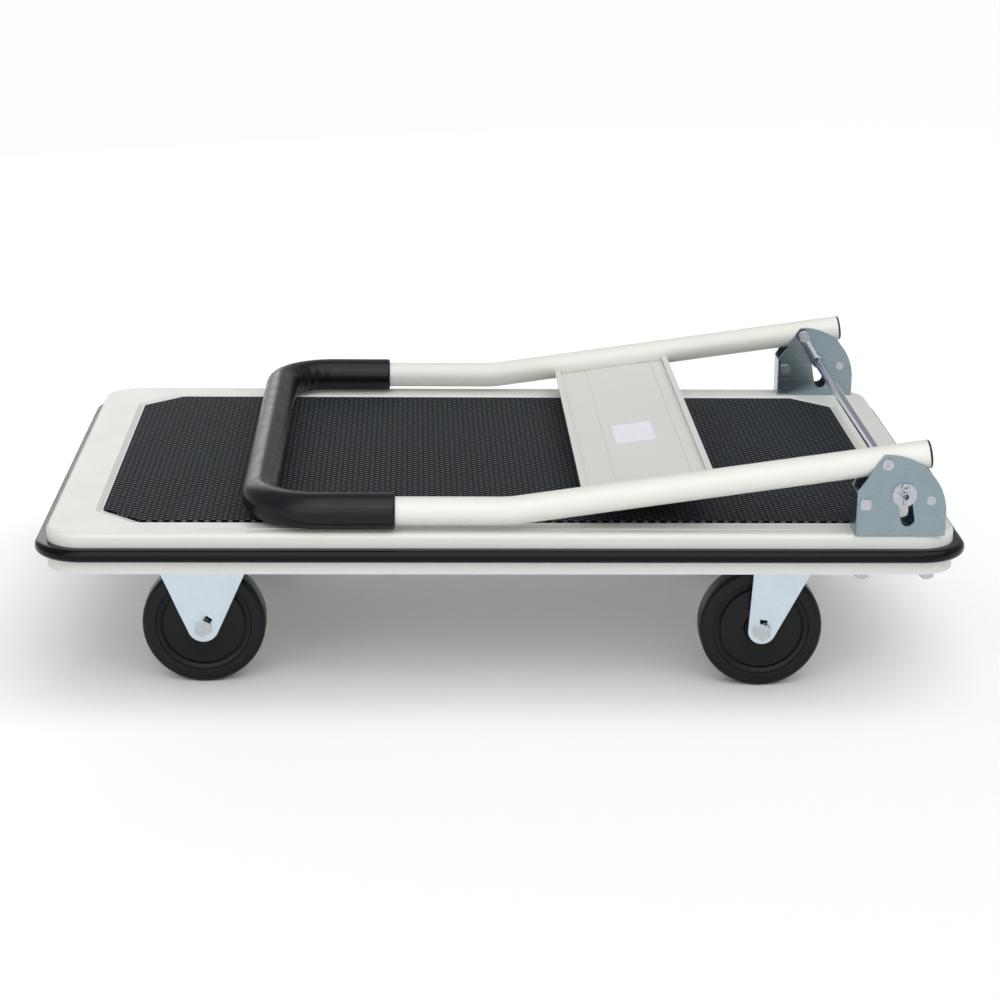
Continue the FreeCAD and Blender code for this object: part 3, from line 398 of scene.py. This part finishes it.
class Finishes:
    """The cart's own finishes, by what they are used on."""

    deck_paint = PowderCoat("powder_coat_deck", "#d4d5d0", 0.42, shade="#cfd1ca",
                            slot="cream_paint")
    tube_paint = PowderCoat("powder_coat_tube", "#dbdbd5", 0.36, shade="#d6d6cf",
                            slot="cream_paint")
    panel_paint = PowderCoat("powder_coat_panel", "#d2d3ce", 0.42, shade="#cecfc9",
                             slot="cream_paint")
    bracket_zinc = ZincPlate("zinc_blue_passivate_sheet", "#98a6aa", 0.25, metallic=1.0,
                             tint="#8597a0", slot="zinc_plate")
    fork_zinc = ZincPlate("zinc_passivate_forks", "#d4dee4", 0.3, metallic=1.0, tint="#c2d0dc",
                          slot="zinc_plate")
    fastener_zinc = ZincPlate("zinc_plate_fasteners", "#cfd0ce", 0.26, metallic=1.0,
                              tint="#a4abb4", roll_mm=(3.0, 3.0, 3.0), cloud_mm=4.0,
                              line_depth_mm=0.03, slot="zinc_plate")
    rod_zinc = ZincPlate("zinc_plate_rod", "#bfc1c9", 0.2, metallic=1.0, tint="#a9acb9",
                         roll_mm=(0.8, 40.0, 0.8), slot="zinc_plate")
    # The mat's colour is the rubber's own dark grey lightened into a painted highlight on the
    # pads' tops; its groove colour is painted shade.
    mat = EmbossedRubber("embossed_rubber_mat", "#54595e", 0.7, specular=0.05,
                         slot="mat_rubber")
    bumper = Moulded("extruded_pvc_bumper", "#06070a", 0.2, shade="#08090c", skin_mm=6.0,
                     specular=0.16, skin_depth_mm=0.02, slot="bumper_rubber")
    foam = Moulded("skinned_foam_grip", "#0a0d12", 0.3, shade="#0d1015", skin_mm=1.4,
                   specular=0.26, skin_depth_mm=0.05, slot="grip_foam")
    tyre = Moulded("moulded_tyre_rubber", "#090a0d", 0.4, shade="#0c0d10", skin_mm=1.2,
                   specular=0.25, slot="tyre_rubber")
    core = Moulded("moulded_wheel_plastic", "#060709", 0.3, shade="#08090b", skin_mm=2.0,
                   specular=0.25, slot="wheel_plastic")
    cap = Moulded("moulded_cap_plastic", "#0b0c0d", 0.4, slot="cap_plastic")
    label = Moulded("polyester_label_film", "#e6e8ee", 0.3, shade="#e2e4ec",
                    skin_depth_mm=0.005, slot="label_film")
    floor = Finish("floor_paint", "#fbfbfb", 0.9, specular=0.0)


# ---------------------------------------------------------------- mesh helpers
def finish_piece(mesh: bmesh.types.BMesh, name: str, body: Optional[str], finish: Finish,
                 node: Optional[str] = None, smooth_angle: float = 35.0) -> bpy.types.Object:
    """Turn a bmesh into a piece that rides on a body.

    Args:
        mesh: The finished bmesh; it is freed.
        name: The piece's name.
        body: The CAD body that it rides on, or None to leave it on no body.
        finish: Its finish.
        node: The CAD node that it stands for, if any.
        smooth_angle: Edges sharper than this, in degrees, stay crisp.

    Returns:
        The new object.
    """
    bmesh.ops.remove_doubles(mesh, verts=mesh.verts, dist=WELD_GAP)
    bmesh.ops.recalc_face_normals(mesh, faces=mesh.faces)
    limit = math.radians(smooth_angle)
    for face in mesh.faces:
        face.smooth = True
    for edge in mesh.edges:
        edge.smooth = len(edge.link_faces) == 2 and edge.calc_face_angle(0.0) < limit
    data = bpy.data.meshes.new(name)
    mesh.to_mesh(data)
    mesh.free()
    piece = bpy.data.objects.new(name, data)
    bpy.context.scene.collection.objects.link(piece)
    data.materials.append(finish.material())
    if body is not None:
        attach(piece, body)
    if node is not None:
        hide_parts(node)
    log.info("made %s on %s: %d faces", name, body, len(data.polygons))
    return piece


def dress(finish: Finish, *nodes: str) -> None:
    """Give CAD nodes a finish in place of their plain slot colour.

    Args:
        finish: The finish.
        nodes: The nodes' names.
    """
    for name in nodes:
        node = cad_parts[name]
        node.data.materials.clear()
        node.data.materials.append(finish.material())
        log.info("dressed %s in %s", name, finish.name)


def ring(mesh: bmesh.types.BMesh, centre: Vector, facing: Vector, radius: float,
         sides: int) -> list[bmesh.types.BMEdge]:
    """Add an open circle.

    Args:
        mesh: The bmesh.
        centre: The circle's centre.
        facing: The direction its plane faces.
        radius: Its radius.
        sides: How many edges it has.

    Returns:
        Its edges.
    """
    turn = facing.to_track_quat("Z", "Y").to_matrix().to_4x4()
    made = bmesh.ops.create_circle(mesh, cap_ends=False, radius=radius, segments=sides,
                                   matrix=Matrix.Translation(centre) @ turn)
    return list({edge for vert in made["verts"] for edge in vert.link_edges})


def edges_of(geometry: Iterable[Any]) -> list[bmesh.types.BMEdge]:
    """Pick the edges out of an operator's geometry.

    Args:
        geometry: Its vertices, edges and faces.

    Returns:
        The edges alone.
    """
    return [item for item in geometry if isinstance(item, bmesh.types.BMEdge)]


def pull(mesh: bmesh.types.BMesh, edges: list[bmesh.types.BMEdge], move: Vector,
         steps: int = 1) -> list[bmesh.types.BMEdge]:
    """Extrude edges along a straight move, in equal steps.

    Args:
        mesh: The bmesh.
        edges: The edges to extrude.
        move: The whole move.
        steps: In how many steps.

    Returns:
        The edges at the end of the move.
    """
    for _ in range(steps):
        made = bmesh.ops.extrude_edge_only(mesh, edges=edges)["geom"]
        verts = [item for item in made if isinstance(item, bmesh.types.BMVert)]
        bmesh.ops.translate(mesh, verts=verts, vec=move / steps)
        edges = edges_of(made)
    return edges


def swing(mesh: bmesh.types.BMesh, edges: list[bmesh.types.BMEdge], centre: Vector, axis: Vector,
          angle: float, steps: int, climb: float = 0.0) -> list[bmesh.types.BMEdge]:
    """Spin edges about an axis, or wind them along it.

    Args:
        mesh: The bmesh.
        edges: The edges to spin.
        centre: A point on the axis.
        axis: The axis.
        angle: How far, in radians.
        steps: In how many steps.
        climb: How far the whole spin moves along the axis, for a helix.

    Returns:
        The edges at the end of the spin.
    """
    geometry = list({vert for edge in edges for vert in edge.verts}) + list(edges)
    made = bmesh.ops.spin(mesh, geom=geometry, cent=centre, axis=axis, angle=angle, steps=steps,
                          dvec=axis.normalized() * (climb / steps), use_duplicate=False)
    return edges_of(made["geom_last"])


def turned(mesh: bmesh.types.BMesh, outline: list[tuple[float, float]], centre: Vector,
           sides: int, closed: bool = False) -> None:
    """Turn an outline about a line along Y into a solid of revolution.

    Args:
        mesh: The bmesh.
        outline: Points of (radius, distance along Y from the centre).
        centre: The middle of the axis.
        sides: Segments round the axis.
        closed: Whether the outline joins up with its own start.
    """
    verts = [mesh.verts.new(centre + Vector((0.0, along, radius))) for radius, along in outline]
    pairs = list(zip(verts, verts[1:])) + ([(verts[-1], verts[0])] if closed else [])
    edges = [mesh.edges.new(pair) for pair in pairs]
    bmesh.ops.spin(mesh, geom=verts + edges, cent=centre, axis=Y_AXIS, angle=math.tau,
                   steps=sides, use_merge=True, use_duplicate=False)


# ---------------------------------------------------------------- sub-assemblies
@dataclass
class Deck:
    """Pressed deck with its rubber mat, bumper and channels."""

    def dress(self) -> None:
        """Give the deck's parts their finishes."""
        dress(Finishes.deck_paint, "deck_shell", "fixed_caster_channel", "swivel_caster_channel",
              "bracket_backing_left", "bracket_backing_right")
        dress(Finishes.mat, "deck_mat")
        dress(Finishes.bumper, "edge_bumper")
        dress(Finishes.fastener_zinc, "caster_bolts", "caster_nuts", "bracket_bolts",
              "bracket_nuts", "bracket_washers")


@dataclass
class Handle:
    """Folding tube handle: its paint, caps, panel and foam grip."""

    tube_radius: float = 14.0 * MM
    corner_radius: float = 60.0 * MM
    end_step: float = 9.8 * MM
    lip_round: float = 3.5 * MM
    sides: int = 40
    ring_spacing: float = 4.0 * MM
    corner_steps: int = 30
    lip_segments: int = 5
    bore_gap: float = 0.05 * MM
    bulge_height: float = 0.2 * MM
    bulge_waves: tuple[tuple[float, float], ...] = ((14.0, 0.5), (40.0, 0.2))
    fold_height: float = 0.7 * MM
    folds: float = 26.0
    fold_wander: float = 3.0
    wander_per_metre: float = 30.0
    smooth_angle: float = 50.0
    body: str = "handle"

    def dress(self) -> None:
        """Give the handle's own parts their finishes."""
        dress(Finishes.tube_paint, "handle_tube")
        dress(Finishes.panel_paint, "cross_panel")
        dress(Finishes.cap, "tail_caps")
        dress(Finishes.label, "blank_label")

    def wrinkle(self, point: Vector, centre: Vector, radius: float) -> float:
        """How far the foam's skin stands in or out at a point.

        Args:
            point: A point of the sleeve's outer skin.
            centre: The nearer corner's bend centre.
            radius: The sleeve's radius.

        Returns:
            The offset along the skin's normal, in metres.
        """
        soft = sum(noise.noise(point * per_metre) * share
                   for per_metre, share in self.bulge_waves)
        offset = soft * self.bulge_height
        out = Vector((point.x - centre.x, point.y - centre.y, 0.0))
        in_corner = point.x < centre.x and abs(point.y) > abs(centre.y)
        if in_corner:
            inner = max(0.0, (self.corner_radius - out.length) / radius)
            angle = math.atan2(abs(out.y), -out.x)
            wander = self.fold_wander * noise.noise(point * self.wander_per_metre)
            fold = math.sin(angle * self.folds + wander)
            # The folds fade out at both ends of the quarter turn.
            fade = math.sin(min(math.pi, angle * 2.0))
            offset += fold * inner ** 2 * self.fold_height * fade
        return offset

    def build_grip(self) -> None:
        """Make the foam sleeve: a thick tube round the crossbar with rounded end lips."""
        low, high = [Vector(corner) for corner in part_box("foam_grip")]
        radius = (high.z - low.z) / 2
        level = (high.z + low.z) / 2
        leg = high.y - radius
        bend = low.x + radius + self.corner_radius
        turn_y = leg - self.corner_radius
        left_end = high.x
        right_end = high.x - self.end_step
        mesh = bmesh.new()
        start = Vector((left_end, -leg, level))
        walls = [ring(mesh, start, -X_AXIS, size, self.sides)
                 for size in (radius, self.tube_radius + self.bore_gap)]
        firsts = [list(wall) for wall in walls]
        lasts = []
        for wall in walls:
            wall = pull(mesh, wall, X_AXIS * (bend - left_end),
                        round((left_end - bend) / self.ring_spacing))
            wall = swing(mesh, wall, Vector((bend, -turn_y, level)), Z_AXIS, -math.pi / 2,
                         self.corner_steps)
            wall = pull(mesh, wall, Y_AXIS * 2 * turn_y, round(2 * turn_y / self.ring_spacing))
            wall = swing(mesh, wall, Vector((bend, turn_y, level)), Z_AXIS, -math.pi / 2,
                         self.corner_steps)
            wall = pull(mesh, wall, X_AXIS * (right_end - bend),
                        round((right_end - bend) / self.ring_spacing))
            lasts.append(wall)
        rims = firsts[0] + lasts[0]
        bmesh.ops.bridge_loops(mesh, edges=firsts[0] + firsts[1])
        bmesh.ops.bridge_loops(mesh, edges=lasts[0] + lasts[1])
        bmesh.ops.recalc_face_normals(mesh, faces=mesh.faces)
        bmesh.ops.bevel(mesh, geom=rims, offset=self.lip_round, segments=self.lip_segments,
                        profile=0.5, affect="EDGES", material=-1, clamp_overlap=True)
        mesh.normal_update()
        axis_gap = (radius + self.tube_radius) / 2
        for vert in mesh.verts:
            side = math.copysign(1.0, vert.co.y)
            centre = Vector((bend, side * turn_y, level))
            if self.off_axis(vert.co, centre, leg, bend) > axis_gap:
                vert.co += vert.normal * self.wrinkle(vert.co, centre, radius)
        piece = finish_piece(mesh, "foam_sleeve", self.body, Finishes.foam, "foam_grip",
                             self.smooth_angle)

    def off_axis(self, point: Vector, centre: Vector, leg: float, bend: float) -> float:
        """How far a point is from the tube's centre line.

        Args:
            point: The point.
            centre: The nearer corner's bend centre.
            leg: How far the legs' centre lines are from the middle.
            bend: Where the corners begin along X.

        Returns:
            The distance in metres.
        """
        rise = point.z - centre.z
        if point.x >= bend:
            return math.hypot(abs(point.y) - leg, rise)
        if abs(point.y) <= abs(centre.y):
            return math.hypot(point.x - (bend - self.corner_radius), rise)
        out = math.hypot(point.x - centre.x, point.y - centre.y)
        return math.hypot(out - self.corner_radius, rise)


@dataclass
class ReleaseBar:
    """Release rod with its washers, split pins and tension springs."""

    wire: float = 1.0 * MM
    coil_radius: float = 4.6 * MM
    turns: int = 12
    wire_sides: int = 8
    steps_per_turn: int = 20
    eye_steps: int = 36
    smooth_angle: float = 60.0
    top_node: str = "pivot_pins"
    rod_node: str = "release_rod"

    def dress(self) -> None:
        """Give the bar's own parts their finishes."""
        dress(Finishes.rod_zinc, "release_rod")
        dress(Finishes.fastener_zinc, "rod_washers", "rod_split_pins")

    def ends(self, side: Side) -> tuple[Vector, Vector, float]:
        """Find where a spring hangs.

        Args:
            side: Which spring.

        Returns:
            Its upper and lower eyes' centres, and the eyes' radius.
        """
        low, high = [Vector(corner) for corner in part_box("rod_spring_" + side.word)]
        rod_low, rod_high = [Vector(corner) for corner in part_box(self.rod_node)]
        pin_low, pin_high = [Vector(corner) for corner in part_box(self.top_node)]
        middle = (low.y + high.y) / 2
        foot = Vector(((rod_low.x + rod_high.x) / 2, middle, (rod_low.z + rod_high.z) / 2))
        top = Vector(((pin_low.x + pin_high.x) / 2, middle, (pin_low.z + pin_high.z) / 2))
        eye = high.z - top.z - self.wire
        return top, foot, eye

    def build_spring(self, side: Side) -> None:
        """Wind one tension spring: two eyes and a close coil that stretches between them.

        Args:
            side: Which spring.
        """
        top, foot, eye = self.ends(side)
        heading = (foot - top).normalized()
        mesh = bmesh.new()
        for centre in (top, foot):
            start = ring(mesh, centre + heading * eye, heading.cross(Y_AXIS), self.wire,
                         self.wire_sides)
            swing(mesh, start, centre, Y_AXIS, math.tau, self.eye_steps)
        coil_top = top + heading * eye
        length = (foot - top).length - 2 * eye
        across = heading.cross(Y_AXIS)
        loop = ring(mesh, coil_top + across * self.coil_radius, Y_AXIS, self.wire,
                    self.wire_sides)
        wound = swing(mesh, loop, coil_top, heading, math.tau * self.turns,
                      self.turns * self.steps_per_turn, length)
        for edges in (loop, wound):
            bmesh.ops.edgeloop_fill(mesh, edges=edges)
        name = "rod_spring_" + side.word
        piece = finish_piece(mesh, "coil_spring_" + side.word, None, Finishes.fastener_zinc,
                             name, self.smooth_angle)
        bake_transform(piece)


@dataclass
class Hinge:
    """Folded brackets with their pivot pins, stop pins and rivets."""

    def dress(self) -> None:
        """Give the brackets and pins their finishes."""
        dress(Finishes.bracket_zinc, "hinge_bracket_left", "hinge_bracket_right")
        dress(Finishes.fastener_zinc, "pivot_pins", "stop_pins", "spacer_rivets")


@dataclass
class Caster:
    """One caster: fork, axle and a wheel with a moulded tyre and core."""

    kind: str
    side: Side
    groove_radius: float = 42.6 * MM
    groove_half: float = 0.9 * MM
    groove_depth: float = 3.0 * MM
    step_radius: float = 49.0 * MM
    step_drop: float = 1.3 * MM
    disc_level: float = 14.0 * MM
    shoulder: float = 6.0 * MM
    shoulder_step: int = 15
    boss_radius: float = 19.0 * MM
    boss_lip: float = 3.2 * MM
    boss_bevel: float = 1.0 * MM
    boss_foot: tuple[float, float] = (1.2 * MM, 0.4 * MM)
    bore_radius: float = 8.1 * MM
    wall_foot: float = 1.4 * MM
    lip_width: float = 1.0 * MM
    lip_drops: tuple[float, float] = (1.2 * MM, 0.4 * MM)
    step_ease: tuple[float, float] = (0.8 * MM, 0.1 * MM)
    disc_ease: float = 0.6 * MM
    sides: int = 96

    @property
    def tag(self) -> str:
        """The end of this caster's part names.

        Returns:
            Its kind and side, such as "fixed_left".
        """
        return f"{self.kind}_{self.side.word}"

    def dress(self) -> None:
        """Give the fork, plate and axle their finishes."""
        dress(Finishes.fork_zinc, f"{self.kind}_fork_{self.side.word}")
        dress(Finishes.fastener_zinc, *[f"axle_{part}_{self.tag}"
                                        for part in ("bolt", "nut", "sleeve")])
        if self.kind == "swivel":
            dress(Finishes.fork_zinc, *[f"{part}_{self.side.word}" for part in
                                        ("swivel_plate", "kingpin", "swivel_balls")])

    def tyre_outline(self, radius: float, half: float) -> list[tuple[float, float]]:
        """Half the tyre's section, from the groove over the shoulder to the tread's middle.

        Args:
            radius: The tyre's radius.
            half: Half its width.

        Returns:
            Points of (radius, distance along Y from the middle).
        """
        inner = self.groove_radius + self.groove_half
        arc = [(radius - self.shoulder + self.shoulder * math.sin(a),
                half - self.shoulder + self.shoulder * math.cos(a))
               for a in [math.radians(d) for d in range(0, 91, self.shoulder_step)]]
        step = half - self.step_drop
        return [(inner, step - self.groove_depth - self.wall_foot),
                (inner, step - self.lip_drops[0]),
                (inner + self.lip_width, step - self.lip_drops[1]),
                (self.step_radius - self.lip_width, step),
                (self.step_radius, half - self.step_ease[1]),
                (self.step_radius + self.step_ease[0], half)] + arc

    def build_wheel(self) -> None:
        """Turn the tyre and the core of the wheel."""
        low, high = [Vector(corner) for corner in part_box("tyre_" + self.tag)]
        hub_low, hub_high = [Vector(corner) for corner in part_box("wheel_core_" + self.tag)]
        centre = (low + high) / 2
        radius = (high.z - low.z) / 2
        half = (high.y - low.y) / 2
        hub_half = (hub_high.y - hub_low.y) / 2
        outline = self.tyre_outline(radius, half)
        tyre = bmesh.new()
        turned(tyre, outline + [(r, -y) for r, y in reversed(outline)], centre, self.sides, True)
        finish_piece(tyre, "tyre_" + self.tag + "_moulded", "wheel_" + self.tag, Finishes.tyre,
                     "tyre_" + self.tag)
        rim = self.groove_radius - self.groove_half
        boss_top = self.boss_radius - self.boss_lip
        disc = [(self.bore_radius, hub_half), (boss_top, hub_half),
                (boss_top + self.boss_bevel, hub_half - self.boss_bevel),
                (self.boss_radius - self.boss_foot[0], self.disc_level + self.boss_foot[1]),
                (self.boss_radius, self.disc_level), (rim - self.disc_ease, self.disc_level),
                (rim, self.disc_level - self.disc_ease),
                (rim, self.disc_level - self.groove_depth),
                (rim + 2 * self.groove_half, self.disc_level - self.groove_depth)]
        core = bmesh.new()
        turned(core, disc + [(r, -y) for r, y in reversed(disc)], centre, self.sides, True)
        finish_piece(core, "wheel_disc_" + self.tag, "wheel_" + self.tag, Finishes.core,
                     "wheel_core_" + self.tag)


# ---------------------------------------------------------------- studio
@dataclass
class Studio:
    """Pale floor, soft lights and the camera."""

    floor_half: float = 80.0
    camera_place: tuple[float, float, float] = (-0.08894, -2.67352, 0.92234)
    heading: float = -2.047
    pitch: float = 16.425
    roll: float = -0.674
    lens: float = 92.31
    sensor: float = 36.0
    clip: tuple[float, float] = (0.05, 300.0)
    sky: str = "#f6f8fa"
    sky_strength: float = 0.42
    aim_height: float = 0.15

    def build_floor(self) -> None:
        """A plain pale floor, which is not part of the cart."""
        mesh = bmesh.new()
        bmesh.ops.create_grid(mesh, x_segments=2, y_segments=2, size=self.floor_half)
        data = bpy.data.meshes.new("floor")
        mesh.to_mesh(data)
        mesh.free()
        floor = bpy.data.objects.new("floor", data)
        bpy.context.scene.collection.objects.link(floor)
        data.materials.append(Finishes.floor.material())

    def build_lights(self) -> None:
        """Even sky, two very soft suns and one large soft box."""
        world = bpy.data.worlds.new("studio")
        bpy.context.scene.world = world
        world.use_nodes = True
        world.node_tree.nodes.clear()
        sky = add_node(world.node_tree, "ShaderNodeBackground",
                       {"Color": linear(self.sky), "Strength": self.sky_strength})
        add_node(world.node_tree, "ShaderNodeOutputWorld", {"Surface": sky.outputs["Background"]})
        self.sun("overhead", height=62.0, swing_degrees=35.0, spread=70.0, strength=1.7)
        self.sun("front", height=24.0, swing_degrees=-15.0, spread=60.0, strength=1.15)
        self.soft_box("rear_strip", place=(-1.2, 2.6, 1.3), size=1.6, power=14.0)

    def sun(self, name: str, height: float, swing_degrees: float, spread: float,
            strength: float) -> None:
        """Add a very soft, even light from far away.

        Args:
            name: The light's name.
            height: Its height above the horizon, in degrees.
            swing_degrees: How far to the camera's right it stands, in degrees from -Y.
            spread: Its angular size in degrees.
            strength: Its strength.
        """
        data = bpy.data.lights.new(name, "SUN")
        data.angle = math.radians(spread)
        data.energy = strength
        light = bpy.data.objects.new(name, data)
        light.rotation_euler = (math.radians(90.0 - height), 0.0, math.radians(swing_degrees))
        bpy.context.scene.collection.objects.link(light)

    def soft_box(self, name: str, place: tuple[float, float, float], size: float,
                 power: float) -> None:
        """Add a square area light that faces the cart.

        Args:
            name: The light's name.
            place: Where it stands.
            size: The length of its side.
            power: Its power in watts.
        """
        data = bpy.data.lights.new(name, "AREA")
        data.shape = "SQUARE"
        data.size = size
        data.energy = power
        light = bpy.data.objects.new(name, data)
        light.location = place
        light.rotation_mode = "QUATERNION"
        aim = Vector((0.0, 0.0, self.aim_height)) - Vector(place)
        light.rotation_quaternion = aim.to_track_quat("-Z", "Y")
        bpy.context.scene.collection.objects.link(light)

    def build_camera(self) -> None:
        """Put the camera where the cart is seen from its left, a little from above."""
        data = bpy.data.cameras.new("camera")
        data.lens = self.lens
        data.sensor_width = self.sensor
        data.clip_start, data.clip_end = self.clip
        camera = bpy.data.objects.new("camera", data)
        turn = (Matrix.Rotation(math.radians(self.heading), 4, "Z")
                @ Matrix.Rotation(math.radians(90.0 - self.pitch), 4, "X")
                @ Matrix.Rotation(math.radians(-self.roll), 4, "Z"))
        camera.matrix_world = Matrix.Translation(self.camera_place) @ turn
        bpy.context.scene.collection.objects.link(camera)
        bpy.context.scene.camera = camera
        bpy.context.scene.view_settings.view_transform = "Standard"


def main() -> None:
    """Build the studio, then each sub-assembly in order."""
    logging.basicConfig(level=logging.INFO, format="%(name)s: %(message)s")
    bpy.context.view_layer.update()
    studio = Studio()
    studio.build_camera()
    studio.build_floor()
    studio.build_lights()
    Deck().dress()
    Hinge().dress()
    handle = Handle()
    handle.dress()
    handle.build_grip()
    bar = ReleaseBar()
    bar.dress()
    for side in Side:
        bar.build_spring(side)
        for kind in ("fixed", "swivel"):
            caster = Caster(kind, side)
            caster.dress()
            caster.build_wheel()


if __name__ == "__main__":
    main()
